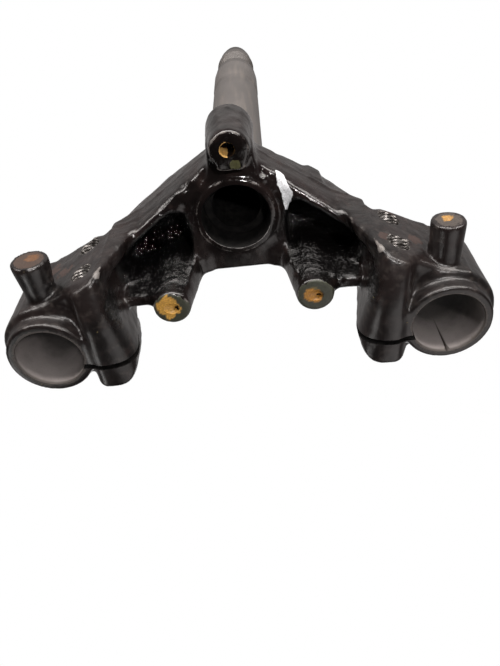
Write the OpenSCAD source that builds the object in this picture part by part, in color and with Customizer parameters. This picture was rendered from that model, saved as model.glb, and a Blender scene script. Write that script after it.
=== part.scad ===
// Motorbike steering stem: cast lower fork bridge with a pressed-in stem tube.
// Frame: origin on the stem axis at the hub's bottom ring, +Z up the stem,
// +Y towards the fork clamps (forward), +X across the bike. Millimetres.

/* [Stem] */
// Diameter of the lower bearing seat on the stem tube
stem_d = 30; // [29:0.5:30.5]
// Wall of the stem tube
stem_wall = 3.5; // [2:0.5:5]
// Height of the stem's upper tip above the hub's bottom ring
stem_top = 258; // [250:1:300]
// Depth of the open mouth below the pressed-in tube
mouth_depth = 13; // [6:1:16]

/* [Hub] */
// Radius of the hub's open mouth
mouth_r = 15.8; // [15.4:0.1:16.2]
// Radius of the machined ring around the mouth
lip_r = 18.5; // [17.5:0.1:19.5]
// Radius of the cast hub
hub_r = 21.8; // [20:0.2:24]
// Height of the hub's top above the ring
hub_top = 30; // [26:1:34]

/* [Fork clamps] */
// Diameter of the fork tube bores
fork_d = 31; // [30:0.5:33]
// Distance from the stem axis plane to each fork axis
fork_x = 88.2; // [84:0.2:92]
// Forward offset of the fork axes
fork_y = 37.3; // [34:0.1:40]
// Height of the clamps' lower ring face
clamp_bottom = -44.4; // [-48:0.2:-40]
// Height of the clamps' upper face
clamp_top = 1; // [-2:0.5:4]
// Radius of the lower ring
ring_r = 19.2; // [18.6:0.1:20]
// Radius of the clamp body
clamp_r = 22; // [21:0.2:23]
// Width of the pinch slot
slot_w = 2.6; // [1.6:0.2:3.2]
// Thread diameter of the pinch bolt holes
pinch_d = 8; // [6:0.5:8]

/* [Bosses] */
// Half distance between the two mudguard bosses
guard_x = 32.7; // [31:0.1:35]
// Forward place of the mudguard bosses
guard_y = 28.3; // [27:0.1:30]
// Height of the mudguard boss faces
guard_z = -27.2; // [-30:0.2:-24]
// Thread diameter in the mudguard bosses
guard_d = 6; // [5:0.5:6]
// Radius of the side pegs
peg_r = 7.2; // [6.8:0.1:8.4]
// Height of the side pegs' axis
peg_z = -27.8; // [-30:0.2:-25]
// Rearward place of the side pegs' tips
peg_tip_y = -4.4; // [-6:0.2:-2]

/* [Hidden] */
$fn = 96;
eps = 0.01;
stem_r = stem_d / 2;
press_r = stem_r + 0.25;      // pressed-in foot of the stem tube
slot_y = 43.5;              // middle of the pinch slot
bolt_x = 68.2;               // pinch bolt axes
bolt_z = [-27.3, -6];      // pinch bolt heights
flank = [[58.5, 0.5], [86, 13.7]]; // rear face of a clamp in plan
ear_y = 57;                 // front face of the lower ears
col_bottom = -46.5;         // lower face of the columns and ears
guard_hole = 30;            // depth of the thread in a mudguard boss
wall_a = atan2(9.5, 40);     // slope of the column's inner wall in plan
arm_a = atan2(30.2, 47.5);  // direction of an arm's rear wall in plan

// an arc of points round [cx, cy], used to round polygon corners
function arc(cx, cy, r, a0, a1, n = 6) =
    [for (i = [0:n]) [cx + r * cos(a0 + (a1 - a0) * i / n),
                      cy + r * sin(a0 + (a1 - a0) * i / n)]];

// a solid whose outline in plan is p, between two heights
module plan(p, z0, z1) { translate([0, 0, z0]) linear_extrude(z1 - z0) polygon(p); }

// a solid whose outline seen from behind (x, z) is p, between two depths
module seen_back(p, y0, y1) {
    translate([0, y1, 0]) rotate([90, 0, 0]) linear_extrude(y1 - y0) polygon(p);
}

// a solid whose outline seen from the side (y, z) is p, between two widths
module seen_side(p, x0, x1) {
    translate([x0, 0, 0]) rotate([90, 0, 90]) linear_extrude(x1 - x0) polygon(p);
}

// both sides of the casting
module pair() { children(); mirror([1, 0, 0]) children(); }

// rear wall, roof and outer form of one arm, without its pocket
module arm_block() {
    intersection() {
        plan([[-1, -25.5], [10.5, -25.5], [58, 4.7], [66, 6.2], [66, 32], [46, 31],
              [-1, 28.5]], -40, 32);
        seen_back([[-1, 7], [10.5, 5.5], [33, -1.5], [48, -6.8], [57.5, -10.5], [60.5, -20],
                   [62.5, -30], [64, -36], [72, -36], [72, -2], [68, 7], [63, 15], [56, 21.5],
                   [48, 26.8], [32, 30.5], [23, 30.5], [22, 30], [-1, 30]], -30, 40);
        // the rear wall leans out up to the parting line, then back in
        translate([10.5, -25.5, 19]) rotate([0, 0, arm_a]) rotate([0, 8, 0]) {
            rotate([-5, 0, 0]) translate([-60, 0, -80]) cube([160, 120, 160]);
            rotate([7, 0, 0]) translate([-60, 0, -80]) cube([160, 120, 160]);
        }
    }
}

// front wall of one arm, which runs from the hub through the mudguard boss to the column
module front_wall() {
    intersection() {
        plan([[16, 21], [22, 18], [30, 19], [40, 22.5], [54, 25], [60, 31.5],
              [44, 31.5], [24, 31], [16, 28.5]], -30, 26);
        seen_back([[15, 1.5], [21, 1.5], [25, -16], [40, -20.5], [60, -20], [60, 20], [15, 27]],
                  10, 40);
    }
}

// deep cast pocket of one arm, open at the bottom
module pocket() {
    intersection() {
        plan([[24.5, -3.2], [26.5, -4.6], [29.5, -4.8], [34, -2.8], [43, 2.8], [52, 9],
              [56.5, 13.5], [55.5, 19], [53, 24], [44, 23.5], [36, 18.5], [30, 17.5],
              [26, 20], [23.6, 19], [22.6, 13], [23, 4]], -60, 24);
        seen_back([[0, -60], [70, -60], [70, 8], [58, 13], [50, 17], [30, 21], [0, 22]],
                  -30, 60);
    }
}

// pinch column of one clamp, from its rear face to the slot and on into the lower ear
module column() {
    intersection() {
        plan(concat([[49.3, slot_y], [58.8, 3]], flank, [[88, 22], [80, 36], [72, 44], [70.5, 50]],
                    arc(65, ear_y - 6, 6, 10, 90), arc(59.3, ear_y - 8, 8, 90, 180)),
             -60, clamp_top);
        // lower edge rounded towards the stem and drafted, along the slanted inner wall
        translate([49.3, slot_y, 0]) rotate([0, 0, wall_a])
            seen_back(concat([[7, 10], [0, -36]], arc(9, -37.5, 9, 180, 270),
                             [[21, col_bottom], [27, -42], [60, -42], [60, 10]]), -60, 30);
        // lower face falls away towards the rear, with a rounded edge
        seen_side(concat([[0.3, 10]], [[0.3, -35]], arc(4.3, -35, 4, 180, 240, 3),
                         [[10, -42.5], [18, -45], [28, col_bottom], [ear_y - 2.5, col_bottom],
                          [ear_y, -44], [ear_y, 10]]), 0, 100);
    }
}

// web that carries the arm's rear wall into the column
module shoulder() {
    intersection() {
        plan([[46.5, -2.6], [50.5, -0.4], [58.5, 0.6], [63, 10], [52, 8]], -40, 30);
        seen_back([[46, -6], [49, -9], [52, -16.5], [55, -22], [55.4, -27], [57, -33], [58.5, -37],
                   [64, -37], [64, 8], [56, 14], [46, 18]],
                  -20, 20);
    }
}

// one fork clamp: body, lower ring and the peg on its rear
module clamp() {
    translate([fork_x, fork_y, 0]) {
        translate([0, 0, -33]) cylinder(r = clamp_r, h = clamp_top + 33);
        translate([0, 0, -38.5]) cylinder(r1 = ring_r, r2 = clamp_r, h = 5.5 + eps);
        translate([0, 0, clamp_bottom]) cylinder(r = ring_r, h = 12);
    }
    // flat rear flank that carries the peg
    intersection() {
        plan(concat(flank, [[97, 17.2], [100, 30], [70, 30]]), -38, clamp_top);
        seen_side([[0, 10], [0, -35.5], [3, -38], [16, -38], [22, -33], [30, -33], [30, 10]],
                  50, 110);
    }
    translate([fork_x, 20, peg_z]) rotate([90, 0, 0])
        cylinder(r1 = peg_r - 0.5, r2 = peg_r, h = 20 - peg_tip_y);
}

// one tapered mudguard boss
module guard_boss() {
    translate([guard_x, guard_y, guard_z]) cylinder(r1 = 8.35, r2 = 12, h = 28);
    translate([guard_x, guard_y, guard_z + 20]) cylinder(r = 8, h = 20);
}

// tapered lug behind the hub
module rear_lug() {
    translate([0.6, -33.5, -5]) cylinder(r1 = 8.6, r2 = 10.8, h = 28);
    plan([[-8, -34], [9.2, -34], [9.2, -25], [-8, -25]], -5, 12);
    plan([[-9.6, -34], [10.6, -34], [11.5, -18], [-10.5, -18]], 3, 23);
}

// hub with its machined ring and front web
module hub() {
    cylinder(r = lip_r, h = 10);
    translate([0, 0, 1.5]) cylinder(r1 = 20.8, r2 = hub_r, h = 1.5);
    translate([0, 0, 3 - eps]) cylinder(r = hub_r, h = hub_top - 3 - 1.5);
    translate([0, 0, hub_top - 1.5 - 2 * eps]) cylinder(r1 = hub_r, r2 = 20.4, h = 1.5);
    plan([[-18, 8], [-22, 28.5], [22, 28.5], [18, 8]], 1.2, 27);
}

module lower_bridge() {
    color("#1b1816")
    difference() {
        union() {
            hub();
            rear_lug();
            pair() {
                difference() {
                    union() {
                        arm_block();
                        front_wall();
                        guard_boss();
                    }
                    pocket();
                }
                shoulder();
                column();
                clamp();
            }
            // steering stop on the right arm
            plan([[35, -9.5], [43, -4.5], [40, 1], [32, -3]], 16, 30.5);
        }
        // mouth and press bore of the hub
        translate([0, 0, -1]) cylinder(r = mouth_r, h = mouth_depth);
        translate([0, 0, mouth_depth - 1 - eps]) cylinder(r = press_r, h = 40);
        // rear lug hole
        translate([0, -34, -20]) cylinder(d = 6, h = 60);
        pair() {
            // fork bore with small chamfers
            translate([fork_x, fork_y, -60]) cylinder(d = fork_d, h = 80);
            translate([fork_x, fork_y, clamp_bottom - 1])
                cylinder(r1 = fork_d / 2 + 1.6, r2 = fork_d / 2, h = 1.6);
            translate([fork_x, fork_y, clamp_top - 0.8])
                cylinder(r1 = fork_d / 2, r2 = fork_d / 2 + 1.8, h = 1.8);
            // pinch slot
            translate([40, slot_y - slot_w / 2, -60]) cube([fork_x - 40, slot_w, 80]);
            // pinch bolt holes: thread in the column, clearance in the ear, opened mouth
            for (z = bolt_z) translate([bolt_x, 0, z]) rotate([-90, 0, 0]) {
                translate([0, 0, -20]) cylinder(d = pinch_d, h = 63);
                translate([0, 0, slot_y]) cylinder(d = pinch_d + 0.6, h = 30);
                translate([0, 0, -20]) cylinder(d = pinch_d + 1, h = 20 + 7.2);
            }
            // mudguard boss holes with a spot face on top
            translate([guard_x, guard_y, -40]) cylinder(d = guard_d, h = 90);
            translate([guard_x, guard_y, 24]) cylinder(r = 7, h = 20);
            // centre mark in the peg
            translate([fork_x, peg_tip_y + 2, peg_z]) rotate([90, 0, 0]) cylinder(r = 1.4, h = 4);
        }
    }
}

module stem_tube() {
    color("#4a4644")
    rotate_extrude() polygon([
        [stem_r - stem_wall, mouth_depth - 1], [press_r, mouth_depth - 1],
        [press_r, hub_top], [stem_r, hub_top], [stem_r, hub_top + 16],
        [stem_r - 0.3, hub_top + 16.3], [stem_r - 0.3, 162], [14.2, 163], [14.2, 170],
        [stem_r - 0.1, 173], [stem_r - 0.1, 198], [14.2, 202], [14.2, 208], [13.3, 211],
        [13.3, 231], [12.5, 236], [11.8, 245], [10.3, 249], [10.3, stem_top - 4],
        [8.8, stem_top], [7.4, stem_top], [7.4, stem_top - 60],
        [stem_r - stem_wall, stem_top - 70]]);
}

lower_bridge();
stem_tube();
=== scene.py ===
# Motorbike steering stem: the looks. Geometry is worked out in millimetres in the
# CAD frame (origin at the hub's bottom ring, +Z up the stem) and given in metres.
import math

import bmesh
import bpy
import numpy as np
from mathutils import Matrix, Vector


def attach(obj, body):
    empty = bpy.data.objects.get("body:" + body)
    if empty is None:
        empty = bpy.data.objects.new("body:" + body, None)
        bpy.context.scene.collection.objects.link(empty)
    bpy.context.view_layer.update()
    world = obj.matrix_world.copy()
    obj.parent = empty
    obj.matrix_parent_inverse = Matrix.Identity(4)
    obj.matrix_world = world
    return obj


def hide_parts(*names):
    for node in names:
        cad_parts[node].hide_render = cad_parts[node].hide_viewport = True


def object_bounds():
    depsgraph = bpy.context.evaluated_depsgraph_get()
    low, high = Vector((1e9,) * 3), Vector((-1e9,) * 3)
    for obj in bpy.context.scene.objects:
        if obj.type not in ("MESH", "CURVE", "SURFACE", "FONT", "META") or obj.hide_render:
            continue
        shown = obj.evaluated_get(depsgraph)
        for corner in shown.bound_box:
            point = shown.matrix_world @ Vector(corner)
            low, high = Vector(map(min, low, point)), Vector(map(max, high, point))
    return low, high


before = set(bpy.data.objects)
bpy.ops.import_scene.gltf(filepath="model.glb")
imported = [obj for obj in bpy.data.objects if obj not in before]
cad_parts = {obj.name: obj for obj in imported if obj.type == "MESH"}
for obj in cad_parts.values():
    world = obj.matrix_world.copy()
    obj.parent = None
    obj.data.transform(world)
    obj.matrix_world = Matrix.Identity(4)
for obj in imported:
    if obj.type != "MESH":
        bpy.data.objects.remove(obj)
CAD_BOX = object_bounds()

MM = 0.001
VOX = 0.86  # grid step of the casting's surface, mm

# ---------------------------------------------------------------- distance fields


def smin(a, b, k):
    h = np.clip(0.5 + 0.5 * (b - a) / k, 0.0, 1.0)
    return b + (a - b) * h - k * h * (1.0 - h)


def smax(a, b, k):
    return -smin(-a, -b, k)


def poly2(pts, u, v):
    """Signed distance to a closed polygon (negative inside) on a 2-D grid u x v."""
    pts = np.asarray(pts, np.float32)
    d = np.full(np.broadcast(u, v).shape, 1e9, np.float32)
    inside = np.zeros(d.shape, bool)
    n = len(pts)
    for i in range(n):
        ax, ay = pts[i]
        bx, by = pts[(i + 1) % n]
        ex, ey = bx - ax, by - ay
        wx, wy = u - ax, v - ay
        t = np.clip((wx * ex + wy * ey) / (ex * ex + ey * ey), 0.0, 1.0)
        d = np.minimum(d, (wx - ex * t) ** 2 + (wy - ey * t) ** 2)
        c1 = (ay <= v) & (by > v)
        c2 = (ay > v) & (by <= v)
        side = ex * wy - ey * wx
        inside ^= (c1 & (side > 0)) | (c2 & (side < 0))
    d = np.sqrt(d)
    return np.where(inside, -d, d).astype(np.float32)


def arc(cx, cy, r, a0, a1, n=6):
    return [(cx + r * math.cos(math.radians(a0 + (a1 - a0) * i / n)),
             cy + r * math.sin(math.radians(a0 + (a1 - a0) * i / n))) for i in range(n + 1)]


class Grid:
    """A box of sample points, x symmetric about 0."""

    def __init__(self, nx, y0, y1, z0, z1, h):
        self.h = h
        self.x = (np.arange(0, nx + 1) * h).astype(np.float32)
        self.y = np.arange(y0, y1 + h, h).astype(np.float32)
        self.z = np.arange(z0, z1 + h, h).astype(np.float32)
        self.X = self.x[:, None, None]
        self.Y = self.y[None, :, None]
        self.Z = self.z[None, None, :]

    def plan(self, pts):
        return poly2(pts, self.x[:, None], self.y[None, :])[:, :, None]

    def back(self, pts):
        return poly2(pts, self.x[:, None], self.z[None, :])[:, None, :]

    def side(self, pts):
        return poly2(pts, self.y[:, None], self.z[None, :])[None, :, :]

    def slab(self, z0, z1):
        return np.maximum(z0 - self.Z, self.Z - z1)


def lattice_noise(x, y, z, step, seed):
    """Smooth value noise from -1 to 1 with features about `step` wide; x, y, z are flat arrays."""
    rng = np.random.RandomState(seed)
    n = 48
    table = rng.uniform(-1, 1, (n, n, n)).astype(np.float32)
    out = np.zeros(x.shape, np.float32)
    px, py, pz = x / step + 1000.0, y / step + 1000.0, z / step + 1000.0
    ix, iy, iz = np.floor(px).astype(int), np.floor(py).astype(int), np.floor(pz).astype(int)
    fx, fy, fz = px - ix, py - iy, pz - iz
    fx, fy, fz = (f * f * (3 - 2 * f) for f in (fx, fy, fz))
    for dx in (0, 1):
        wx = fx if dx else 1 - fx
        for dy in (0, 1):
            wy = fy if dy else 1 - fy
            for dz in (0, 1):
                wz = fz if dz else 1 - fz
                out += wx * wy * wz * table[(ix + dx) % n, (iy + dy) % n, (iz + dz) % n]
    return out


# fixed places, mm
FORK = (88.2, 37.3)
GUARD = (32.7, 28.3, -27.2)
SLOT_Y = 43.5
BOLT_X, BOLT_Z = 68.2, (-27.3, -6.0)
PEG = (88.2, -4.4, -27.8)
BOT = -46.5
TOP = 1.0
FLANK = [(58.5, 0.5), (86.0, 13.7)]
WALL_A = math.atan2(9.5, 40.0)
ARM_A = math.atan2(30.2, 47.5)
POCKET_PLAN = [(24.5, -3.2), (26.5, -4.6), (29.5, -4.8), (34, -2.8), (43, 2.8), (52, 9), (56.5, 13.5),
               (55.5, 19), (53, 24), (44, 23.5), (36, 18.5), (30, 17.5), (26, 20), (23.6, 19), (22.6, 13), (23, 4)]
POCKET_BACK = [(0, -60), (80, -60), (80, 8), (58, 13), (50, 17), (30, 21), (0, 22)]


def half_casting(g):
    """One side (x >= 0) of the casting before machining."""
    X, Y, Z = g.X, g.Y, g.Z
    # arm: plan outline, outline from behind, and the drafted rear wall
    plan = g.plan([(-40, -25.5), (10.5, -25.5), (58, 4.7), (66, 6.2), (66, 32), (46, 31), (-40, 28.5)])
    back = g.back([(-40, 7), (-1, 7), (10.5, 5.5), (33, -1.5), (48, -6.8), (57.5, -10.5), (60.5, -20), (62.5, -30),
                   (64, -36), (72, -36), (77, -2), (71, 7.3), (64, 15), (56, 22.3), (48, 27.5), (32, 31.5),
                   (24, 31.5), (21, 30), (-40, 30)])
    ca, sa = math.cos(ARM_A), math.sin(ARM_A)
    along = (X - 10.5) * ca + (Y + 25.5) * sa
    out = (X - 10.5) * sa - (Y + 25.5) * ca
    zz = Z - 19.0 + along * math.tan(math.radians(8.0))
    lean = np.maximum(out + np.maximum(0, -zz) * 0.087, out + np.maximum(0, zz) * 0.123)
    arm = smax(smax(plan, back, 3.0), lean, 3.2 + 2.4 * np.clip((6 - Z) / 6.0, 0, 1))
    # front wall between hub, mudguard boss and column
    fw = smax(g.plan([(16, 21), (22, 18), (30, 19), (40, 22.5), (54, 25), (60, 31.5), (44, 31.5),
                      (24, 31), (16, 28.5)]),
              g.back([(15, 1.5), (21, 1.5), (25, -16), (40, -20.5), (60, -20), (60, 20), (15, 27)]), 3.0)
    d = smin(arm, fw, 3.0)
    # mudguard boss, tapered
    gx, gy, gz = GUARD
    rr = np.sqrt((X - gx) ** 2 + (Y - gy) ** 2)
    rad = 8.35 + np.clip((Z - gz) / 28.0, 0, 1) * 3.65
    boss = smax(rr - rad, np.maximum(gz - Z, Z - 10.0), 1.0)
    d = smin(d, boss, 3.5)
    # pocket, open below
    pk = smax(g.plan(POCKET_PLAN), g.back(POCKET_BACK), 5.0)
    d = smax(d, -pk, 2.2)
    # web from the arm's rear wall into the column
    sh = smax(g.plan([(46.5, -1.2), (51.5, 0.0), (58.5, 0.6), (63, 10), (52, 8)]),
              g.back([(46, -1), (48.5, -5.5), (52, -15.5), (55, -22.5), (55.4, -27), (57, -33), (58.5, -37), (64, -37),
                      (64, 6), (57, 11), (46, 18)]), 3.0)
    d = smin(d, sh, 2.6)
    # pinch column and lower ear
    cpl = g.plan([(49.3, SLOT_Y), (58.8, 3)] + FLANK + [(88, 22), (82, 36), (78, 44)]
                 + arc(65.0, 47.0, 10.0, 0, 90) + arc(61.8, 46.2, 10.8, 90, 175))
    cw, sw = math.cos(WALL_A), math.sin(WALL_A)
    inn = (X - 49.3) * cw + (Y - SLOT_Y) * sw      # distance out from the slanted inner wall
    # rounding radius of the lower inner edge: large at the slot, small at the rear
    rk = np.clip(3.0 + (Y - 4.0) * 0.16, 3.0, 9.5)
    draft = np.maximum(0, Z + 37) * (0.15 + 0.10 * np.clip((Y - 42.0) / 4.0, 0, 1))
    wall = -(inn - draft)
    floor_z = BOT + np.clip((26 - Y) / 26.0, 0, 1.3) ** 1.6 * 7.0
    low = floor_z - Z
    colm = np.maximum(cpl, Z - TOP)
    edge = smax(wall, low, rk * 1.7)
    edge = smax(edge, (X - 71.5) * 0.9 + (-40 - Z) * 0.45, 3.0)   # falls away towards the ring
    colm = smax(colm, edge, 1.6)
    colm = smax(colm, Y - 57.0, 3.0)
    d = smin(d, colm, 2.6)
    # clamp body and lower ring
    fr = np.sqrt((X - FORK[0]) ** 2 + (Y - FORK[1]) ** 2)
    body = smax(fr - 22.0, np.maximum(-37.0 - Z, Z - TOP), 2.2)
    ring = smax(fr - 19.2, np.maximum(-44.4 - Z, Z + 30), 1.3)
    clamp = smin(body, ring, 3.0)
    flank = smax(smax(g.plan(FLANK + [(97, 17.2), (100, 30), (70, 30)]), np.maximum(-36.5 - Z, Z - TOP), 2.5),
                 g.side([(0, 10), (0, -36), (3, -39), (14, -39), (24, -33), (30, -33), (30, 10)]), 2.0)
    clamp = smin(clamp, flank, 3.0)
    d = smin(d, clamp, 2.6)
    # side peg
    pr = np.sqrt((X - PEG[0]) ** 2 + (Z - PEG[2]) ** 2)
    prad = 7.3 - np.clip((Y - PEG[1]) / 20.0, 0, 1) * 0.5
    peg = smax(pr - prad, np.maximum(PEG[1] - Y, Y - 24), 1.1)
    d = smin(d, peg, 1.6)
    return d


def casting():
    g = Grid(int(113 / VOX), -47.0, 62.0, -49.4, 34.0, VOX)
    half = half_casting(g)
    full = np.concatenate([half[:0:-1], half], axis=0)
    x = np.concatenate([-g.x[:0:-1], g.x])
    X, Y, Z = x[:, None, None], g.Y, g.Z
    hr = np.sqrt(X ** 2 + Y ** 2)
    # hub, machined ring and web
    hub = smax(hr - 21.8, np.maximum(2.0 - Z, Z - 30.0), 1.6)
    lip = smax(hr - 18.5, np.maximum(-Z, Z - 10.0), 1.2)
    hub = smin(hub, lip, 1.8)
    web = smax(poly2([(-18, 8), (-22, 28.5), (22, 28.5), (18, 8)], x[:, None], g.y[None, :])[:, :, None],
               np.maximum(1.2 - Z, Z - 27.0), 1.8)
    hub = smin(hub, web, 2.0)
    d = smin(full, hub, 3.2)
    # rear lug
    lr = np.sqrt((X - 0.6) ** 2 + (Y + 33.5) ** 2)
    lug = lr - (8.6 + (Z + 5.0) / 28.0 * 2.2)
    lug = smin(lug, smax(poly2([(-6.4, -34), (7.6, -34), (6.4, -24.8), (-5.2, -24.8)], x[:, None], g.y[None, :])[:, :, None],
                         Z - 12.0, 1.0), 3.0)
    lug = smax(lug, np.maximum(-5.0 - Z, Z - 23.0), 1.8)
    lb = smax(poly2([(-9.6, -34), (10.6, -34), (11.5, -18), (-10.5, -18)], x[:, None], g.y[None, :])[:, :, None],
              np.maximum(3.0 - Z, Z - 23.0), 1.5)
    lug = smin(lug, lb, 1.5)
    d = smin(d, lug, 2.4)
    # steering stop on the right arm
    st = smax(poly2([(35.5, -8.8), (41, -5.3), (39, 0), (33, -3)], x[:, None], g.y[None, :])[:, :, None],
              np.maximum(16.0 - Z, Z - 29.6), 2.5)
    d = smin(d, st, 3.0)
    return d, x, g.y, g.z


def surface_nets(V, x, y, z):
    """Quads of the zero surface of V; every vertex is the mean crossing of its cell."""
    nx, ny, nz = V.shape
    h = float(x[1] - x[0])
    cx, cy, cz = nx - 1, ny - 1, nz - 1
    total = cx * cy * cz
    acc = np.zeros((3, total), np.float32)
    cnt = np.zeros(total, np.int32)
    neg = V < 0
    edges = []
    for axis in range(3):
        a = [slice(None)] * 3
        b = [slice(None)] * 3
        a[axis] = slice(0, -1)
        b[axis] = slice(1, None)
        change = neg[tuple(a)] != neg[tuple(b)]
        idx = np.argwhere(change)
        v0 = V[tuple(a)][change]
        v1 = V[tuple(b)][change]
        t = v0 / (v0 - v1)
        pos = idx.astype(np.float32)
        pos[:, axis] += t
        o1, o2 = [k for k in range(3) if k != axis]
        ok = (idx[:, o1] > 0) & (idx[:, o1] < V.shape[o1] - 1) & (idx[:, o2] > 0) & (idx[:, o2] < V.shape[o2] - 1)
        idx, pos, first = idx[ok], pos[ok], (v0 < 0)[ok]
        cells = []
        for d1, d2 in ((0, 0), (1, 0), (1, 1), (0, 1)):
            c = idx.copy()
            c[:, o1] -= d1
            c[:, o2] -= d2
            flat = (c[:, 0] * cy + c[:, 1]) * cz + c[:, 2]
            cells.append(flat)
            for k in range(3):
                acc[k] += np.bincount(flat, pos[:, k], total).astype(np.float32)
            cnt += np.bincount(flat, minlength=total).astype(np.int32)
        q = np.stack(cells, 1)
        flip = ~first if axis != 1 else first
        q[flip] = q[flip][:, ::-1]
        edges.append(q)
    used = np.flatnonzero(cnt)
    lookup = np.full(total, -1, np.int64)
    lookup[used] = np.arange(len(used))
    P = (acc[:, used] / cnt[used]).T
    P = P * h + np.array([x[0], y[0], z[0]], np.float32)
    Q = lookup[np.concatenate(edges)]
    return P.astype(np.float64), Q


# ---------------------------------------------------------------- surface helpers


def vertex_normals(P, Q):
    a, b, c, d = (P[Q[:, k]] for k in range(4))
    fn = np.cross(c - a, d - b)
    n = np.zeros_like(P)
    for k in range(4):
        for j in range(3):
            n[:, j] += np.bincount(Q[:, k], fn[:, j], len(P))
    return n / np.maximum(np.linalg.norm(n, axis=1, keepdims=True), 1e-9)


def relax(P, Q, amount):
    """One pass of smoothing; returns the moved points."""
    s = np.zeros_like(P)
    w = np.zeros(len(P))
    for k in range(4):
        for other in (Q[:, (k + 1) % 4], Q[:, (k + 3) % 4]):
            for j in range(3):
                s[:, j] += np.bincount(Q[:, k], P[other, j], len(P))
            w += np.bincount(Q[:, k], minlength=len(P))
    return P + amount * (s / np.maximum(w, 1)[:, None] - P)


def near(P, x, y, z, r):
    """1 at a point, falling smoothly to 0 at distance r."""
    d = np.sqrt((P[:, 0] - x) ** 2 + (P[:, 1] - y) ** 2 + (P[:, 2] - z) ** 2) / r
    t = np.clip(1 - d, 0, 1)
    return t * t * (3 - 2 * t)


def step01(v, a, b):
    t = np.clip((v - a) / (b - a), 0, 1)
    return t * t * (3 - 2 * t)


def pocket_distance(P):
    ax = np.abs(P[:, 0]).astype(np.float32)
    return np.maximum(poly2(POCKET_PLAN, ax, P[:, 1]), poly2(POCKET_BACK, ax, P[:, 2]))


def fbm(P, step, seed, octaves=3, fall=0.55):
    out = np.zeros(len(P))
    amp = 1.0
    for i in range(octaves):
        out += amp * lattice_noise(P[:, 0], P[:, 1], P[:, 2], step / 2 ** i, seed + i)
        amp *= fall
    return out


def mesh_object(name, verts, faces):
    me = bpy.data.meshes.new(name)
    verts = np.asarray(verts, np.float64) * MM
    faces = np.asarray(faces, np.int64)
    me.vertices.add(len(verts))
    me.vertices.foreach_set("co", verts.ravel())
    me.loops.add(faces.size)
    me.loops.foreach_set("vertex_index", faces.ravel())
    me.polygons.add(len(faces))
    n = faces.shape[1]
    me.polygons.foreach_set("loop_start", np.arange(0, faces.size, n))
    me.update(calc_edges=True)
    me.validate()
    o = bpy.data.objects.new(name, me)
    bpy.context.scene.collection.objects.link(o)
    return o


def add_lathe(bm, profile, seg, place, mat=0):
    """A closed lathe solid; profile is (radius, height) rows, place maps local points to the CAD frame, mm."""
    rows = []
    for r, h in profile:
        rows.append([bm.verts.new(Vector(place(r * math.cos(2 * math.pi * i / seg),
                                               r * math.sin(2 * math.pi * i / seg), h)) * MM)
                     for i in range(seg)])
    made = []
    for k in range(len(rows) - 1):
        for i in range(seg):
            j = (i + 1) % seg
            made.append(bm.faces.new((rows[k][i], rows[k][j], rows[k + 1][j], rows[k + 1][i])))
    made.append(bm.faces.new(rows[0][::-1]))
    made.append(bm.faces.new(rows[-1]))
    for f in made:
        f.material_index = mat


def add_box(bm, lo, hi, mat=0):
    v = [bm.verts.new(Vector((x, y, z)) * MM) for x in (lo[0], hi[0]) for y in (lo[1], hi[1]) for z in (lo[2], hi[2])]
    for q in ((0, 1, 3, 2), (4, 6, 7, 5), (0, 4, 5, 1), (2, 3, 7, 6), (0, 2, 6, 4), (1, 5, 7, 3)):
        bm.faces.new([v[i] for i in q]).material_index = mat


def cutter_object(name, build, mats):
    bm = bmesh.new()
    build(bm)
    bmesh.ops.recalc_face_normals(bm, faces=bm.faces)
    me = bpy.data.meshes.new(name)
    bm.to_mesh(me)
    bm.free()
    for m in mats:
        me.materials.append(m)
    o = bpy.data.objects.new(name, me)
    bpy.context.scene.collection.objects.link(o)
    return o


def cut(target, cutter, solver="MANIFOLD"):
    mod = target.modifiers.new("cut", "BOOLEAN")
    mod.operation = "DIFFERENCE"
    mod.object = cutter
    mod.solver = solver
    if hasattr(mod, "material_mode"):
        mod.material_mode = "INDEX"
    dg = bpy.context.evaluated_depsgraph_get()
    me = bpy.data.meshes.new_from_object(target.evaluated_get(dg), preserve_all_data_layers=True, depsgraph=dg)
    target.modifiers.clear()
    old = target.data
    target.data = me
    me.name = old.name
    bpy.data.meshes.remove(old)
    bpy.data.objects.remove(cutter, do_unlink=True)


# ---------------------------------------------------------------- material nodes


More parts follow.
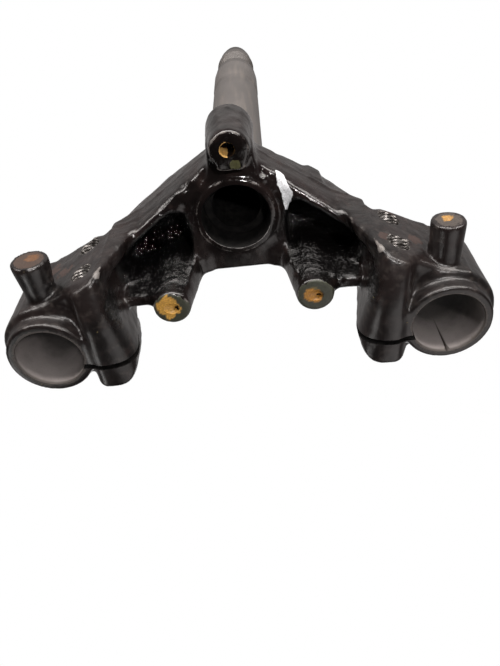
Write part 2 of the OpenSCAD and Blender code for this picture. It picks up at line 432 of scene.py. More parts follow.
class Nodes:
    """Small helper for building a shader tree."""

    def __init__(self, name):
        self.mat = bpy.data.materials.new(name)
        self.mat.use_nodes = True
        self.t = self.mat.node_tree
        self.t.nodes.clear()
        self.out = self.t.nodes.new("ShaderNodeOutputMaterial")
        tc = self.t.nodes.new("ShaderNodeTexCoord")
        self.co = tc.outputs["Object"]

    def put(self, socket, v):
        if isinstance(v, bpy.types.NodeSocket):
            self.t.links.new(v, socket)
        elif v is not None:
            if isinstance(v, (tuple, list)) and socket.type == "RGBA" and len(v) == 3:
                v = (*v, 1.0)
            socket.default_value = v

    def noise(self, size_mm, detail=3.0, rough=0.55, distort=0.0, co=None):
        n = self.t.nodes.new("ShaderNodeTexNoise")
        self.put(n.inputs["Vector"], co or self.co)
        n.inputs["Scale"].default_value = 1000.0 / size_mm
        n.inputs["Detail"].default_value = detail
        n.inputs["Roughness"].default_value = rough
        n.inputs["Distortion"].default_value = distort
        return n.outputs["Fac"]

    def stretch(self, scale, co=None):
        m = self.t.nodes.new("ShaderNodeMapping")
        self.put(m.inputs["Vector"], co or self.co)
        m.inputs["Scale"].default_value = scale
        return m.outputs["Vector"]

    def voronoi(self, size_mm, feature="F1", co=None):
        n = self.t.nodes.new("ShaderNodeTexVoronoi")
        n.feature = feature
        self.put(n.inputs["Vector"], co or self.co)
        n.inputs["Scale"].default_value = 1000.0 / size_mm
        return n.outputs["Distance"]

    def math(self, op, a, b=None, c=None, clamp=False):
        n = self.t.nodes.new("ShaderNodeMath")
        n.operation = op
        n.use_clamp = clamp
        self.put(n.inputs[0], a)
        if b is not None:
            self.put(n.inputs[1], b)
        if c is not None:
            self.put(n.inputs[2], c)
        return n.outputs[0]

    def ramp(self, v, lo, hi, out0=0.0, out1=1.0, smooth=True):
        n = self.t.nodes.new("ShaderNodeMapRange")
        n.interpolation_type = "SMOOTHSTEP" if smooth else "LINEAR"
        self.put(n.inputs["Value"], v)
        n.inputs["From Min"].default_value = lo
        n.inputs["From Max"].default_value = hi
        n.inputs["To Min"].default_value = out0
        n.inputs["To Max"].default_value = out1
        return n.outputs["Result"]

    def mix(self, fac, a, b, blend="MIX"):
        n = self.t.nodes.new("ShaderNodeMix")
        n.data_type = "RGBA"
        n.blend_type = blend
        self.put(n.inputs["Factor"], fac)
        self.put(n.inputs["A"] if False else n.inputs[6], a)
        self.put(n.inputs[7], b)
        return n.outputs[2]

    def attr(self, name):
        n = self.t.nodes.new("ShaderNodeAttribute")
        n.attribute_name = name
        return n

    def split(self, color):
        n = self.t.nodes.new("ShaderNodeSeparateColor")
        self.put(n.inputs[0], color)
        return n.outputs[0], n.outputs[1], n.outputs[2]

    def bump(self, height, mm, strength=1.0, normal=None):
        n = self.t.nodes.new("ShaderNodeBump")
        n.inputs["Distance"].default_value = mm * MM
        self.put(n.inputs["Strength"], strength)
        self.put(n.inputs["Height"], height)
        if normal is not None:
            self.put(n.inputs["Normal"], normal)
        return n.outputs["Normal"]

    def principled(self, **kw):
        n = self.t.nodes.new("ShaderNodeBsdfPrincipled")
        for k, v in kw.items():
            self.put(n.inputs[k.replace("_", " ")], v)
        return n.outputs["BSDF"]

    def finish(self, shader):
        self.t.links.new(shader, self.out.inputs["Surface"])
        return self.mat


def paint_material():
    """Thick glossy black brush paint over a sand casting, dull and scuffed where it is handled, with painted highlights
    on the rubbed edges.
    """
    n = Nodes("black_brush_paint")
    zone = n.attr("zone")
    wear_and_highlight, gloss, rough = n.split(zone.outputs["Color"])
    local = n.attr("tint")
    big = n.noise(22, 3)
    mid = n.noise(6, 4, 0.6)
    fine = n.noise(1.3, 4, 0.65)
    speck = n.noise(0.6, 2, 0.6)
    base = n.mix(n.ramp(big, 0.35, 0.65), (0.0042, 0.0033, 0.0032), (0.0102, 0.0070, 0.0067))
    base = n.mix(n.math("MULTIPLY", n.ramp(mid, 0.52, 0.72), 0.5), base, (0.021, 0.0132, 0.0118))
    # near-black where the skin is rough, most of all in the pockets: painted shade in the recesses
    base = n.mix(n.ramp(rough, 0.55, 0.85), base, (0.0028, 0.0025, 0.0025))
    # dust and thin paint lying on the rough skin, less where the paint is thick and glossy
    dust = n.math("MULTIPLY", n.ramp(n.noise(4.0, 3, 0.6), 0.50, 0.75), n.ramp(gloss, 0.75, 0.15, 0.0, 0.22))
    base = n.mix(dust, base, (0.085, 0.073, 0.066))
    # rubbed edges: lighter grey on convex edges, partly worn paint and partly painted highlight
    rub_and_highlight = n.math("ADD", wear_and_highlight, n.math("MULTIPLY", n.math("SUBTRACT", mid, 0.5), 0.9))
    rub_and_highlight = n.math("ADD", rub_and_highlight, n.math("MULTIPLY", n.math("SUBTRACT", fine, 0.5), 0.5))
    rub_and_highlight = n.ramp(rub_and_highlight, 0.52, 0.80)
    base = n.mix(n.math("MULTIPLY", rub_and_highlight, 0.7), base, (0.17, 0.155, 0.145))
    # other colours: patches of tape glue, primer, rust and one dab of white
    edge = n.math("ADD", local.outputs["Alpha"], n.math("MULTIPLY", n.math("SUBTRACT", n.noise(2.2, 4, 0.65), 0.5), 0.9))
    m = n.ramp(edge, 0.46, 0.58)
    m = n.math("MULTIPLY", m, n.ramp(local.outputs["Alpha"], 0.02, 0.10))
    tint = n.mix(n.ramp(speck, 0.3, 0.75), n.mix(0.45, local.outputs["Color"], (0.02, 0.016, 0.012)), local.outputs["Color"])
    base = n.mix(m, base, tint)
    r = n.math("MULTIPLY_ADD", n.ramp(mid, 0.35, 0.7), 0.06, n.ramp(gloss, 0.0, 1.0, 0.36, 0.06, False))
    r = n.math("ADD", r, n.math("MULTIPLY", rub_and_highlight, 0.12))
    r = n.math("ADD", r, n.math("MULTIPLY", m, 0.25), clamp=True)
    h1 = n.noise(2.6, 5, 0.6, 0.3)
    h2 = n.noise(0.9, 3, 0.6)
    h3 = n.noise(1.5, 3, 0.6, 0.6)
    nb = n.bump(h1, 0.60, n.ramp(rough, 0.0, 1.0, 0.05, 1.0, False))
    nb = n.bump(h3, 0.80, n.ramp(rough, 0.55, 1.0, 0.0, 1.0, False), nb)
    nb = n.bump(h2, 0.08, n.ramp(rough, 0.05, 0.6, 0.0, 1.0, False), nb)
    return n.finish(n.principled(Base_Color=base, Roughness=r, Normal=nb, IOR=1.52))


def bore_material():
    """Bored aluminium, dulled by age, with painted shade darkening it further into the bore."""
    n = Nodes("bored_alloy")
    fr = n.noise(14, 3)
    speck = n.noise(1.1, 4, 0.65)
    local = n.attr("tint")
    turn = n.noise(0.5, 2, 0.5, co=n.stretch((0.04, 0.04, 1.0)))
    c = n.mix(n.ramp(fr, 0.3, 0.7), (0.235, 0.212, 0.205), (0.305, 0.278, 0.268))
    c = n.mix(n.math("MULTIPLY", n.ramp(speck, 0.58, 0.78), 0.35), c, (0.10, 0.085, 0.075))
    sep = n.t.nodes.new("ShaderNodeSeparateXYZ")
    n.put(sep.inputs[0], n.co)
    # darker further into the bore: painted shade
    bore_depth_shade = n.ramp(n.math("ADD", sep.outputs[2], n.math("MULTIPLY", n.math("SUBTRACT", fr, 0.5), 0.02)), -0.042, -0.014)
    c = n.mix(n.math("MULTIPLY", bore_depth_shade, 0.97), c, (0.012, 0.010, 0.009))
    c = n.mix(n.ramp(local.outputs["Alpha"], 0.35, 0.65), c, local.outputs["Color"])
    nb = n.bump(turn, 0.03, 0.6)
    nb = n.bump(speck, 0.05, 0.4, nb)
    return n.finish(n.principled(Base_Color=c, Metallic=0.10, Roughness=n.ramp(speck, 0.3, 0.8, 0.50, 0.66), Normal=nb,
                                 Specular_IOR_Level=0.18))


def thread_material():
    """Cut threads with oil and paint in the roots."""
    n = Nodes("oily_thread")
    a = n.noise(1.6, 3)
    c = n.mix(n.ramp(a, 0.4, 0.65), (0.06, 0.053, 0.049), (0.30, 0.285, 0.27))
    return n.finish(n.principled(Base_Color=c, Metallic=0.6, Roughness=n.ramp(a, 0.3, 0.7, 0.30, 0.42)))


def mouth_material():
    """Inside of the hub and the tube: black and dull, darkened further as painted shade."""
    n = Nodes("black_mouth_painted_shade")
    a = n.noise(3, 3)
    c = n.mix(n.ramp(a, 0.4, 0.7), (0.0025, 0.0024, 0.0024), (0.006, 0.0055, 0.005))
    return n.finish(n.principled(Base_Color=c, Roughness=n.ramp(a, 0.3, 0.7, 0.55, 0.8), Specular_IOR_Level=0.12,
                                 Normal=n.bump(n.noise(1.4, 3), 0.12, 0.5)))


def stem_material():
    """Turned steel tube, grey and lightly stained, near-black inside as painted shade."""
    n = Nodes("turned_steel")
    zone = n.attr("zone")
    dark, bright, thread = n.split(zone.outputs["Color"])
    turn = n.noise(0.45, 2, 0.5, co=n.stretch((0.03, 0.03, 1.0)))
    drawn = n.noise(3.0, 3, 0.55, co=n.stretch((1.0, 1.0, 0.10)))
    stain = n.noise(16, 4, 0.6)
    speck = n.noise(0.9, 3, 0.6)
    c = n.mix(n.ramp(stain, 0.3, 0.7), (0.094, 0.087, 0.083), (0.113, 0.104, 0.100))
    c = n.mix(n.math("MULTIPLY", n.ramp(drawn, 0.45, 0.75), 0.35), c, (0.19, 0.165, 0.145))
    c = n.mix(n.math("MULTIPLY", n.ramp(speck, 0.62, 0.8), 0.4), c, (0.12, 0.09, 0.07))
    c = n.mix(n.math("MULTIPLY", thread, 0.25), c, (0.10, 0.088, 0.080))
    c = n.mix(n.math("MULTIPLY", bright, 0.30), c, (0.30, 0.28, 0.265))
    # near-black where the first zone channel is set: painted shade inside the tube, and grease towards the top
    c = n.mix(dark, c, (0.004, 0.0038, 0.0036))
    nb = n.bump(turn, 0.03, 0.55)
    nb = n.bump(speck, 0.05, 0.25, nb)
    met = n.math("MULTIPLY", n.math("SUBTRACT", 1.0, dark), 0.30)
    return n.finish(n.principled(Base_Color=c, Metallic=met, Roughness=n.ramp(stain, 0.3, 0.7, 0.46, 0.54), Normal=nb))


def plain_material(name, colour, rough):
    n = Nodes(name)
    c = n.mix(n.noise(300, 2), colour, tuple(v * 0.97 for v in colour))
    return n.finish(n.principled(Base_Color=c, Roughness=rough))


# ---------------------------------------------------------------- the casting


def shape_casting():
    d, x, y, z = casting()
    P, Q = surface_nets(d, x, y, z)
    P = relax(P, Q, 0.5)
    N = vertex_normals(P, Q)
    # where the skin is rough and where it is machined or filed
    pk = step01(pocket_distance(P), 3.0, -1.5)
    under = step01(N[:, 2], 0.2, -0.6)
    fr = np.sqrt((np.abs(P[:, 0]) - FORK[0]) ** 2 + (P[:, 1] - FORK[1]) ** 2)
    hr = np.sqrt(P[:, 0] ** 2 + P[:, 1] ** 2)
    smooth = np.maximum(step01(fr, 24.0, 21.0) * 0.6, step01(P[:, 2], -42.5, -43.6) * step01(fr, 21, 19.5))
    smooth = np.maximum(smooth, step01(hr, 20.0, 18.8) * step01(P[:, 2], 3.5, 1.5))
    gr = np.sqrt((np.abs(P[:, 0]) - GUARD[0]) ** 2 + (P[:, 1] - GUARD[1]) ** 2)
    smooth = np.maximum(smooth, step01(gr, 9.5, 8.5) * step01(P[:, 2], -24.5, -26))
    peg = step01(np.abs(np.abs(P[:, 0]) - PEG[0]), 9.0, 7.5) * step01(P[:, 1], 4.0, 1.0)
    smooth = np.maximum(smooth, peg * 0.8)
    column = step01(np.abs(P[:, 0]), 47, 50) * step01(P[:, 1], 4, 9) * step01(P[:, 2], -28, -33)
    smooth = np.maximum(smooth, column * 0.55)
    smooth = np.maximum(smooth, 0.75 * step01(np.abs(P[:, 0]), 23, 20) * step01(P[:, 1], 8, 12))
    amp = 1.0 - 0.85 * np.clip(smooth, 0, 1)
    wave = fbm(P, 9.0, 11, 2) * 0.16 + fbm(P, 4.2, 23, 2, 0.6) * (0.12 + 0.26 * pk)
    lump = np.clip(fbm(P, 5.5, 37, 2), 0, 2) ** 2 * 0.35 * pk
    move = (wave + lump) * amp
    move += fbm(P, 4.4, 61, 2, 0.6) * 0.42 * step01(hr, 33, 27) * step01(hr, 19.5, 21.5) * under * step01(P[:, 1], 4, -3)
    # parting line fins along the arms' rear walls
    ca, sa = math.cos(ARM_A), math.sin(ARM_A)
    ax = np.abs(P[:, 0])
    along = (ax - 10.5) * ca + (P[:, 1] + 25.5) * sa
    zz = P[:, 2] - 19.0 + along * math.tan(math.radians(8.0))
    rear = step01(N[:, 1], -0.35, -0.7) * step01(ax, 11, 14) * step01(ax, 76, 70)
    fin = np.exp(-(zz / 0.7) ** 2) * (0.28 + 0.12 * fbm(P, 7, 51, 2))
    move += fin * rear
    streak = lattice_noise(along, zz * 5.0, np.sign(P[:, 0]) * 31.0, 12.0, 71) * 0.20
    streak = streak + lattice_noise(along * 1.3, zz * 8.0, np.sign(P[:, 0]) * 57.0, 9.0, 72) * 0.12
    move += streak * rear * step01(ax, 62, 56)
    flank = step01(N[:, 1], -0.5, -0.8) * step01(ax, 57, 60) * step01(P[:, 2], 0, -3) * step01(P[:, 1], 18, 14) * step01(P[:, 1], -1, 0)
    move += flank * (fbm(P * np.array([1, 1, 0.45]), 6.0, 81, 3, 0.6) * 0.22)
    # runs and blobs of paint
    for bx, by, bz, r, h in ((-81.8, 6.5, -30.4, 3.4, 1.0), (-82.5, 7.6, -27.0, 2.4, 0.7), (-66.4, 3.5, -1.6, 2.6, 0.8),
                             (73.1, 6.8, -23.6, 3.0, 0.8), (80.2, 8.2, -26.0, 2.8, 0.9), (59.6, 1.9, -36.6, 3.6, 0.6),
                             (-59.1, 1.9, -36.4, 3.6, 0.6), (-13.5, -14.5, 2.6, 2.8, 0.8), (13.8, -16.2, 3.0, 2.6, 0.7),
                             (1.0, -44.1, 18.0, 1.8, 0.5), (-20.4, 21.5, 1.4, 3.0, 0.8), (24.8, 20.2, -2.0, 3.2, 0.9),
                             (41.5, 24.0, -19.0, 3.4, 1.0), (-41.0, 24.0, -19.4, 3.2, 0.9), (-24.5, 19.0, -8.0, 3.0, 0.8),
                             (-40.8, 20.8, 15.6, 2.6, 1.3), (-42.0, 17.1, 18.5, 2.2, 1.0), (-37.5, 19.5, 9.1, 2.0, 0.9),
                             (-38.6, 20.2, 12.6, 1.7, 0.8), (-41.7, 23.0, -17.6, 2.0, 0.9), (-45.2, 26.9, -20.4, 2.2, 0.8),
                             (-22.1, 19.9, -2.8, 2.4, 0.9), (40.8, 19.2, 18.0, 2.6, 1.2), (38.4, 20.0, 7.6, 2.0, 1.0),
                             (36.6, 18.8, 12.4, 1.8, 0.9), (42.8, 22.8, 2.7, 2.0, 0.9), (28.6, 18.4, 3.5, 2.0, 0.8),
                             (46.8, 23.8, -3.6, 2.2, 0.9), (41.9, 22.9, -15.2, 2.2, 0.9), (44.9, 25.9, -20.3, 2.2, 0.8),
                             (22.8, 21.3, -8.6, 2.2, 0.9)):
        move += near(P, bx, by, bz, r) * h
    lp = np.hypot(P[:, 0] + PEG[0], P[:, 2] - PEG[2])
    move += 0.85 * step01(lp, 9.0, 7.6) * np.clip((9.0 - P[:, 1]) / 11.0, 0, 1) * step01(P[:, 1], PEG[1], PEG[1] + 0.6)
    P = P + N * move[:, None]
    lo, hi = np.array(CAD_BOX[0]) / MM, np.array(CAD_BOX[1]) / MM
    P = np.minimum(np.maximum(P, lo + 0.01), hi - 0.01)
    return P, Q


def machining(bm):
    """Bores, bolt holes from below and centre marks; material 0 paint, 1 bore, 2 thread, 3 black paint darkened as
    painted shade.
    """
    for s in (-1, 1):
        fx, fy = s * FORK[0], FORK[1]
        add_lathe(bm, [(16.6 if s > 0 else 15.9, -46.0), (15.8 if s > 0 else 15.3, -44.35), (15.5 if s > 0 else 15.1, -44.0),
                       (15.5, -40.0), (15.5, 0.4), (16.2, 1.05), (17.0, 3.0)], 128,
                  lambda a, b, h: (fx + a, fy + b, h), 1)
        gx, gy, gz = s * GUARD[0], GUARD[1], GUARD[2]
        add_lathe(bm, [(3.1, gz - 3), (2.9, gz + 0.25), (2.3, gz + 0.7), (1.15, gz + 1.3), (1.1, gz + 4.0), (3.0, gz + 4.4),
                       (3.0, 23.6), (3.4, 24.0), (7.0, 24.02), (7.0, 40.0)], 40,
                  lambda a, b, h: (gx + a * (1.25 if h < gz + 1 else 1) + (1.5 if gz + 1.1 < h < gz + 4.2 else
                                   (0.5 if h > gz + 0.6 and h < gz + 1 else 0.0)),
                                   gy + b + (0.9 if gz + 1.1 < h < gz + 4.2 else 0.0), h), 0)
        px, py, pz = s * PEG[0], PEG[1], PEG[2]
        add_lathe(bm, [(1.9, py - 1.0), (1.4, py + 0.02), (0.3, py + 0.5)], 20,
                  lambda a, b, h: (px + a, h, pz - b), 0)
    # hub mouth, material 3: near-black as painted shade inside the hub
    add_lathe(bm, [(17.2, -1.2), (16.1, -0.02), (15.75, 0.3), (15.45, 0.9), (15.45, 12.6), (15.32, 12.8), (15.32, 34.0)], 128,
              lambda a, b, h: (a, b, h), 3)
    add_lathe(bm, [(3.5, -7.0), (3.3, -5.0), (3.0, -4.6), (3.0, 26.0)], 48, lambda a, b, h: (a, b - 34.0, h), 0)


def slots(bm):
    for s in (-1, 1):
        x0, x1 = (40.0, FORK[0]) if s > 0 else (-FORK[0], -40.0)
        # slot faces, material 3: near-black as painted shade in the narrow gaps
        add_box(bm, (x0, SLOT_Y - 1.3, -50.0), (x1, SLOT_Y + 1.3, 6.0), 3)


def pinch_holes(bm):
    for s in (-1, 1):
        for bz in BOLT_Z:
            prof = [(5.6, -4.0)]
            y = -3.0
            while y < 15.0:
                prof += [(5.6, y), (5.0, y + 0.55), (4.95, y + 0.75), (5.0, y + 0.95)]
                y += 1.5
            prof += [(4.0, 16.0), (4.0, SLOT_Y - 0.5), (4.3, SLOT_Y), (4.3, 62.0)]
            add_lathe(bm, prof, 40, lambda a, b, h: (s * BOLT_X + a, h, bz - b), 2)


def finish_casting(o):
    """Zones and local colours as attributes on the machined casting, sharp edges marked."""
    me = o.data
    nv = len(me.vertices)
    P = np.empty(nv * 3, np.float32)
    me.vertices.foreach_get("co", P)
    P = P.reshape(-1, 3) / MM
    N = np.empty(nv * 3, np.float32)
    me.vertices.foreach_get("normal", N)
    N = N.reshape(-1, 3)
    E = np.empty(len(me.edges) * 2, np.int64)
    me.edges.foreach_get("vertices", E)
    E = E.reshape(-1, 2)
    dp = P[E[:, 0]] - P[E[:, 1]]
    ln = np.maximum(np.linalg.norm(dp, axis=1), 0.25)
    turn = np.einsum("ij,ij->i", N[E[:, 0]] - N[E[:, 1]], dp) / ln ** 2
    turn = np.clip(turn, -1.2, 1.2)
    cur = np.bincount(E[:, 0], turn, nv) + np.bincount(E[:, 1], turn, nv)
    deg = np.maximum(np.bincount(E.ravel(), minlength=nv), 1)
    cur /= deg
    for _ in range(3):
        sm = np.bincount(E[:, 0], cur[E[:, 1]], nv) + np.bincount(E[:, 1], cur[E[:, 0]], nv)
        cur = 0.5 * cur + 0.5 * sm / deg
    # convex edges: worn paint and painted highlight, shown lighter grey in the paint
    wear_and_highlight = step01(cur, 0.10, 0.42)
    ax = np.abs(P[:, 0])
    fr = np.sqrt((ax - FORK[0]) ** 2 + (P[:, 1] - FORK[1]) ** 2)
    hr = np.sqrt(P[:, 0] ** 2 + P[:, 1] ** 2)
    pk = step01(pocket_distance(P), 4.0, 0.0)
    clampz = np.maximum(step01(ax, 46, 52) * step01(P[:, 2], -6, -14), step01(fr, 25, 22.5))
    gloss = np.clip(0.80 + 0.20 * pk - 0.62 * clampz * (1 - pk), 0, 1)
    gloss = np.maximum(gloss, step01(hr, 30, 24) * 0.9)
    gloss *= 1 - 0.5 * step01(P[:, 1], 6, 10) * step01(ax, 27, 24)
    gloss *= 1 - 0.45 * step01(N[:, 1], -0.5, -0.75) * step01(ax, 12, 16) * (1 - pk)
    rough = np.clip(0.30 + 0.70 * pk - 0.24 * clampz * (1 - pk), 0, 1)
    rear = step01(N[:, 1], -0.35, -0.7) * step01(ax, 11, 14)
    rough = np.maximum(rough, 0.42 * rear)
    rough *= 1 - 0.75 * step01(hr, 20.0, 18.8) * step01(P[:, 2], 3.5, 1.5)
    rough *= 1 - 0.7 * step01(ax, 23, 20) * step01(P[:, 1], 8, 12)
    wear_and_highlight = wear_and_highlight * (1 - 0.8 * pk) * (1 - 0.6 * step01(hr, 26, 22))
    wear_and_highlight *= 1 - 0.45 * step01(fr, 21.5, 20.0) * step01(P[:, 2], -41, -43)
    wear_and_highlight *= 1 - 0.6 * step01(np.abs(P[:, 1] - SLOT_Y), 3.0, 2.2)
    # lighter ring round the hub's lip: painted highlight and worn paint
    lip_wear_and_highlight = np.exp(-((hr - 18.2) / 0.7) ** 2) * step01(P[:, 2], 1.6, 0.9)
    wear_and_highlight = np.maximum(wear_and_highlight, lip_wear_and_highlight * (0.62 + 0.35 * fbm(P, 6.0, 64, 2)))
    wear_and_highlight *= 1 - 0.75 * step01(np.abs(ax - PEG[0]), 9.5, 8.0) * step01(P[:, 1], 3.0, 0.0)
    zone = np.stack([wear_and_highlight, gloss, rough, np.ones(nv)], 1).astype(np.float32)
    tint = np.zeros((nv, 4), np.float32)

    def patch(weight, colour):
        w = np.clip(weight, 0, 1)
        take = w > tint[:, 3]
        tint[take, :3] = colour
        tint[:, 3] = np.maximum(tint[:, 3], w)

    # boss faces: olive-brown glue with an orange middle
    for s in (-1, 1):
        gr = np.sqrt((P[:, 0] - s * GUARD[0]) ** 2 + (P[:, 1] - GUARD[1]) ** 2)
        face = step01(P[:, 2], GUARD[2] + 2.2, GUARD[2] + 0.6)
        q = P + np.array([s * 13.0, 0, 0])
        wob = fbm(q, 3.6, 91, 3, 0.6)
        patch(face * step01(gr + wob, 9.4, 7.4) * 0.72, (0.046, 0.050, 0.034))
        smear = near(P, s * GUARD[0] - 2.5, GUARD[1] - 1.5, GUARD[2], 6.5) if s > 0 else \
            near(P, s * GUARD[0] - 2.2, GUARD[1] - 1.2, GUARD[2], 7.5)
        patch(face * step01(smear + 0.35 * wob, 0.25, 0.55) * 0.75, (0.125, 0.098, 0.036))
        gx = np.hypot(P[:, 0] - s * GUARD[0] + (0.6 if s > 0 else 1.5), (P[:, 1] - GUARD[1] + (0.2 if s > 0 else 0.9)) * 0.9)
        inner = step01(gx + (1.3 if s > 0 else 2.2) * wob, 5.2 if s > 0 else 6.3, 3.2 if s > 0 else 4.4) \
            * step01(P[:, 2], GUARD[2] + 5.0, GUARD[2] + 2.0)
        patch(inner * 0.98, (0.46, 0.21, 0.030) if s > 0 else (0.66, 0.36, 0.070))
    # pegs: bare coppery ends
    pr = np.sqrt((P[:, 0] + PEG[0]) ** 2 + (P[:, 2] - PEG[2]) ** 2)
    end = step01(P[:, 1], PEG[1] + 1.0, PEG[1] + 0.3)
    patch(end * step01(pr, 8.5, 5.0) * 0.80, (0.040, 0.021, 0.0135))
    patch(end * step01(near(P, -87.2, -4.2, -26.2, 5.6) + 0.20 * fbm(P, 3.0, 95, 2), 0.22, 0.60), (0.105, 0.042, 0.012))
    pr = np.sqrt((P[:, 0] - PEG[0]) ** 2 + (P[:, 2] - PEG[2]) ** 2)
    patch(end * step01(pr, 8.5, 4.0) * 0.68, (0.050, 0.040, 0.034))
    patch(end * step01(near(P, 87.9, -4.2, -26.6, 4.0) + 0.20 * fbm(P, 2.4, 96, 2), 0.25, 0.60), (0.36, 0.19, 0.045))
    # lug: orange on the hole's left wall, green-yellow smear below
    lr = np.sqrt(P[:, 0] ** 2 + (P[:, 1] + 34) ** 2)
    patch(step01(lr, 3.45, 3.15) * step01(P[:, 0], 0.4, -0.6) * step01(P[:, 2], 19, 14) * 0.98, (0.62, 0.36, 0.11))
    patch(near(P, 2.6, -27.2, -4.6, 4.6) * 1.1, (0.085, 0.085, 0.030))
    patch(near(P, 3.2, -23.2, 0.5, 2.6) * 0.9, (0.10, 0.095, 0.035))
    # red-brown primer showing on the clamp's rear faces
    for a in ((-79.2, 9.7, -16.3, 6.0), (77.1, 8.7, -19.5, 5.0), (62.4, 1.9, -26.0, 4.5), 
              (69.7, 5.1, -1.0, 4.0), (-86.0, 13.0, -10.0, 6.0)):
        patch(near(P, a[0], a[1], a[2], a[3] * 1.6) * (0.80 + 0.45 * fbm(P, 3.0, 98, 2)), (0.030, 0.0145, 0.0115))
    # dab of white
    dab = np.full(nv, 1e3)
    for a, b, ra, rb in (((21.3, -18.0, 5.0), (21.8, -13.5, 2.6), 1.7, 1.8), ((21.8, -13.5, 2.6), (24.2, -8.5, 1.8), 1.8, 2.4),
                         ((24.2, -8.5, 1.8), (23.2, -1.5, 1.8), 2.4, 0.9)):
        a, b = np.array(a), np.array(b)
        t = np.clip((P - a) @ (b - a) / ((b - a) @ (b - a)), 0, 1)
        dab = np.minimum(dab, np.linalg.norm(P - a - t[:, None] * (b - a), axis=1) - (ra + (rb - ra) * t))
    patch(step01(dab, 1.2, -0.7) * 0.98, (0.86, 0.88, 0.91))
    # light grey along the +Y edge of the hub mouth only: painted highlight on the chamfer, partly bare metal
    patch(step01(hr, 16.6, 16.2) * step01(P[:, 2], 1.4, 1.0) * step01(P[:, 1], 3, 8) * 0.9, (0.36, 0.345, 0.335))
    # dark runs down the right bore
    an = np.degrees(np.arctan2(P[:, 1] - FORK[1], P[:, 0] - FORK[0]))
    run = np.exp(-((an - 88 - 2 * np.sin(P[:, 2] * 0.5)) / 2.2) ** 2) * step01(fr, 16.2, 15.8) * (P[:, 0] > 0)
    patch(run * step01(P[:, 2], -20, -32), (0.02, 0.016, 0.014))
    # lighter grey ring on the rims of the fork bores
    patch(step01(np.abs(fr - 15.7), 1.2, 0.8) * step01(P[:, 2], -43.2, -43.8) * step01(P[:, 2], -44.75, -44.55) * 0.62, (0.075, 0.066, 0.061))
    for name, data in (("zone", zone), ("tint", tint)):
        a = me.color_attributes.new(name, "FLOAT_COLOR", "POINT")
        a.data.foreach_set("color", data.ravel())
    bm = bmesh.new()
    bm.from_mesh(me)
    lim = math.radians(44)
    for f in bm.faces:
        f.smooth = True
    for e in bm.edges:
        fs = e.link_faces
        if len(fs) == 2 and (fs[0].normal.angle(fs[1].normal, 0.0) > lim or fs[0].material_index != fs[1].material_index):
            e.smooth = False
    bm.to_mesh(me)
    bm.free()


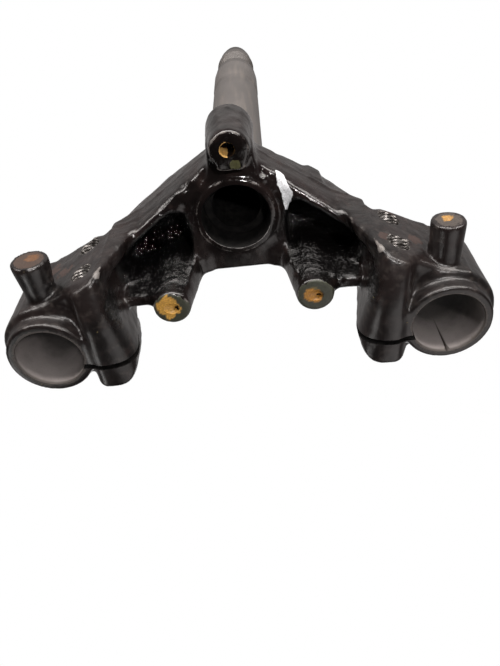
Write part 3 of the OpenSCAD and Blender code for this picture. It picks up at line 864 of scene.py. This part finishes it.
def stem_tube():
    """Lathe with a helical thread; rows every fraction of a millimetre only where they are needed."""
    outer = [(11.5, 12.02), (15.0, 12.05), (15.25, 12.3), (15.25, 30.0), (15.0, 30.25), (15.0, 45.7), (14.7, 46.3),
             (14.7, 90.0), (14.7, 130.0), (14.7, 161.6), (14.2, 163.0), (14.2, 170.2), (14.55, 171.4), (14.9, 173.0),
             (14.9, 185.0), (14.9, 197.4), (14.6, 198.4), (14.2, 202.0), (14.2, 207.4), (13.9, 208.6), (13.3, 210.4)]
    seg = 144
    z = 211.0
    top = []
    while z <= 231.001:
        top.append(("thread", z))
        z += 0.16
    tail = [(13.3, 231.6), (12.9, 233.6), (12.5, 236.0), (12.15, 240.0), (11.8, 245.0), (11.2, 247.4), (10.5, 248.8), (10.3, 250.0),
            (10.3, 253.6), (9.9, 255.4), (9.3, 257.0), (8.8, 257.9), (8.4, 258.0), (7.8, 257.95), (7.4, 257.4),
            (7.4, 200.0), (7.4, 188.6), (7.8, 188.0), (11.1, 188.0), (11.5, 187.4), (11.5, 100.0), (11.5, 40.0), (11.5, 12.4)]
    rows = []
    ang = np.arange(seg) * 2 * math.pi / seg
    for item in outer + top + tail:
        if item[0] == "thread":
            z = item[1]
            ph = (z / 1.0 - ang / (2 * math.pi)) % 1.0
            tri = np.abs(ph - 0.5) * 2
            fade = min(1.0, (z - 211.0) / 1.2, (231.0 - z) / 1.2)
            r = 13.3 - 0.52 * fade * (1 - np.clip(tri * 1.25 - 0.12, 0, 1))
        else:
            r = np.full(seg, item[0])
            z = item[1]
        rows.append(np.stack([r * np.cos(ang), r * np.sin(ang), np.full(seg, z)], 1))
    P = np.concatenate(rows)
    n = len(rows)
    k = np.arange(n)[:, None]
    i = np.arange(seg)[None, :]
    j = (i + 1) % seg
    k2 = (k + 1) % n
    Q = np.stack([k * seg + i, k * seg + j, k2 * seg + j, k2 * seg + i], 2).reshape(-1, 4)
    o = mesh_object("stem_tube_turned", P, Q)
    me = o.data
    r = np.hypot(P[:, 0], P[:, 1])
    # first channel: painted shade, near-black inside the tube and where it sits in the hub; the narrow tip darker too,
    # and the top from the upper seat up darker as grease
    dark = np.where((P[:, 2] < 29) | (r < 12.0), 1.0, 0.0) * np.where(P[:, 2] > 250, 0.55, 1.0)
    dark = np.where((r < 8.2) & (P[:, 2] > 180), np.where(P[:, 2] > 257, 0.2, 0.9), dark)
    dark = np.maximum(dark, 0.36 * step01(P[:, 2], 199.0, 203.0))
    bright = np.where((P[:, 2] > 172.5) & (P[:, 2] < 198.2), 0.12, 0.0) + np.where((P[:, 2] > 30) & (P[:, 2] < 46.2), 1.0, 0.0)
    thread = np.where((P[:, 2] > 210.6) & (P[:, 2] < 231.4), 1.0, 0.0)
    a = me.color_attributes.new("zone", "FLOAT_COLOR", "POINT")
    a.data.foreach_set("color", np.stack([dark, bright, thread, np.ones(len(P))], 1).astype(np.float32).ravel())
    bm = bmesh.new()
    bm.from_mesh(me)
    bmesh.ops.recalc_face_normals(bm, faces=bm.faces)
    for f in bm.faces:
        f.smooth = True
        c = f.calc_center_median()
        # faces inside the tube and below the hub top take the near-black mouth material: painted shade
        if c.z < 0.029 or (math.hypot(c.x, c.y) < 0.0121 and c.z < 0.2):
            f.material_index = 1
    for e in bm.edges:
        if len(e.link_faces) == 2 and e.calc_face_angle(0.0) > math.radians(32):
            e.smooth = False
    bm.to_mesh(me)
    bm.free()
    return o


# ---------------------------------------------------------------- camera, light, floor


def camera():
    R = ((0.99488577, 0.09914642, -0.01929510), (-0.08892091, 0.76910693, -0.63290410),
         (-0.04791018, 0.63138302, 0.77398973))
    C = Vector((0.014698, -0.131951, -0.246032))
    cam = bpy.data.objects.new("camera", bpy.data.cameras.new("camera"))
    cam.data.sensor_width = 36.0
    cam.data.lens = 600.0 / 666.0 * 36.0
    cam.data.clip_start = 0.01
    cam.data.clip_end = 20.0
    cam.matrix_world = Matrix(((R[0][0], -R[1][0], -R[2][0], C[0]), (R[0][1], -R[1][1], -R[2][1], C[1]),
                               (R[0][2], -R[1][2], -R[2][2], C[2]), (0, 0, 0, 1)))
    bpy.context.scene.collection.objects.link(cam)
    bpy.context.scene.camera = cam


def area(name, place, aim, size, power, colour=(1, 1, 1)):
    d = bpy.data.lights.new(name, "AREA")
    d.shape = "RECTANGLE"
    d.size, d.size_y = size
    d.energy = power
    d.color = colour
    o = bpy.data.objects.new(name, d)
    o.location = place
    o.rotation_euler = (Vector(aim) - Vector(place)).to_track_quat("-Z", "Y").to_euler()
    bpy.context.scene.collection.objects.link(o)


def surroundings():
    w = bpy.data.worlds.new("room")
    bpy.context.scene.world = w
    w.use_nodes = True
    t = w.node_tree
    t.nodes.clear()
    out = t.nodes.new("ShaderNodeOutputWorld")
    seen = t.nodes.new("ShaderNodeBackground")
    seen.inputs[0].default_value = (1.0, 1.0, 1.0, 1)
    seen.inputs[1].default_value = 1.0
    lit = t.nodes.new("ShaderNodeBackground")
    lit.inputs[0].default_value = (1.0, 0.955, 0.935, 1)
    # the room is brighter above the stem than below the clamps
    tc = t.nodes.new("ShaderNodeTexCoord")
    sep = t.nodes.new("ShaderNodeSeparateXYZ")
    up = t.nodes.new("ShaderNodeMapRange")
    t.links.new(tc.outputs["Generated"], sep.inputs[0])
    t.links.new(sep.outputs["Z"], up.inputs["Value"])
    up.inputs["From Min"].default_value = -0.3
    up.inputs["From Max"].default_value = 0.8
    up.inputs["To Min"].default_value = LOW_ROOM
    up.inputs["To Max"].default_value = HIGH_ROOM
    t.links.new(up.outputs["Result"], lit.inputs[1])
    lp = t.nodes.new("ShaderNodeLightPath")
    mx = t.nodes.new("ShaderNodeMixShader")
    t.links.new(lp.outputs["Is Camera Ray"], mx.inputs[0])
    t.links.new(lit.outputs[0], mx.inputs[1])
    t.links.new(seen.outputs[0], mx.inputs[2])
    t.links.new(mx.outputs[0], out.inputs[0])
    aim = (0.0, 0.0, 0.0)
    area("key", (0.0, -0.98, -0.06), aim, (2.4, 0.36), 38.0, (1.0, 0.95, 0.915))
    area("sky", (0.05, -0.55, 0.95), aim, (0.9, 0.6), 0.4, (1.0, 0.97, 0.94))
    area("camera_side", (0.20, -0.45, -0.62), aim, (0.06, 0.05), 4.2, (1.0, 0.965, 0.95))
    area("low_right", (0.45, 0.62, -0.75), aim, (0.8, 0.7), 2.2, (1.0, 0.945, 0.925))
    area("low_left", (-0.62, 0.66, -0.52), aim, (0.12, 0.5), 0.9, (1.0, 0.98, 0.96))
    area("front", (0.0, 0.95, 0.35), aim, (0.8, 0.6), 3.0)
    bpy.context.scene.view_settings.view_transform = "Standard"
    bpy.context.scene.view_settings.look = "None"
    bm = bmesh.new()
    bmesh.ops.create_grid(bm, x_segments=2, y_segments=2, size=30.0)
    for v in bm.verts:
        v.co.z = FLOOR
    me = bpy.data.meshes.new("floor")
    bm.to_mesh(me)
    bm.free()
    n = Nodes("pale_floor")
    even = n.t.nodes.new("ShaderNodeEmission")
    even.inputs[0].default_value = (0.80, 0.79, 0.775, 1)
    even.inputs[1].default_value = 0.92
    both = n.t.nodes.new("ShaderNodeMixShader")
    both.inputs[0].default_value = 0.02
    matt = n.principled(Base_Color=(0.8, 0.79, 0.77), Roughness=0.8)
    n.t.links.new(even.outputs[0], both.inputs[1])
    n.t.links.new(matt, both.inputs[2])
    me.materials.append(n.finish(both.outputs[0]))
    o = bpy.data.objects.new("floor", me)
    bpy.context.scene.collection.objects.link(o)
    o.visible_glossy = False
    o.visible_diffuse = False
    o.visible_shadow = False


LOW_ROOM, HIGH_ROOM = 0.012, 0.40
FLOOR = -0.262


def main():
    paint, bore, thread, mouth = paint_material(), bore_material(), thread_material(), mouth_material()
    mats = [paint, bore, thread, mouth]
    P, Q = shape_casting()
    o = mesh_object("lower_bridge_casting", P, Q)
    for m in mats:
        o.data.materials.append(m)
    for name, build in (("machining", machining), ("slots", slots), ("pinch_holes", pinch_holes)):
        cut(o, cutter_object(name, build, mats))
    finish_casting(o)
    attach(o, "root")
    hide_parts("lower_bridge")
    s = stem_tube()
    s.data.materials.append(stem_material())
    s.data.materials.append(mouth)
    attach(s, "root")
    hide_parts("stem_tube")
    camera()
    surroundings()


main()
bpy.context.view_layer.update()
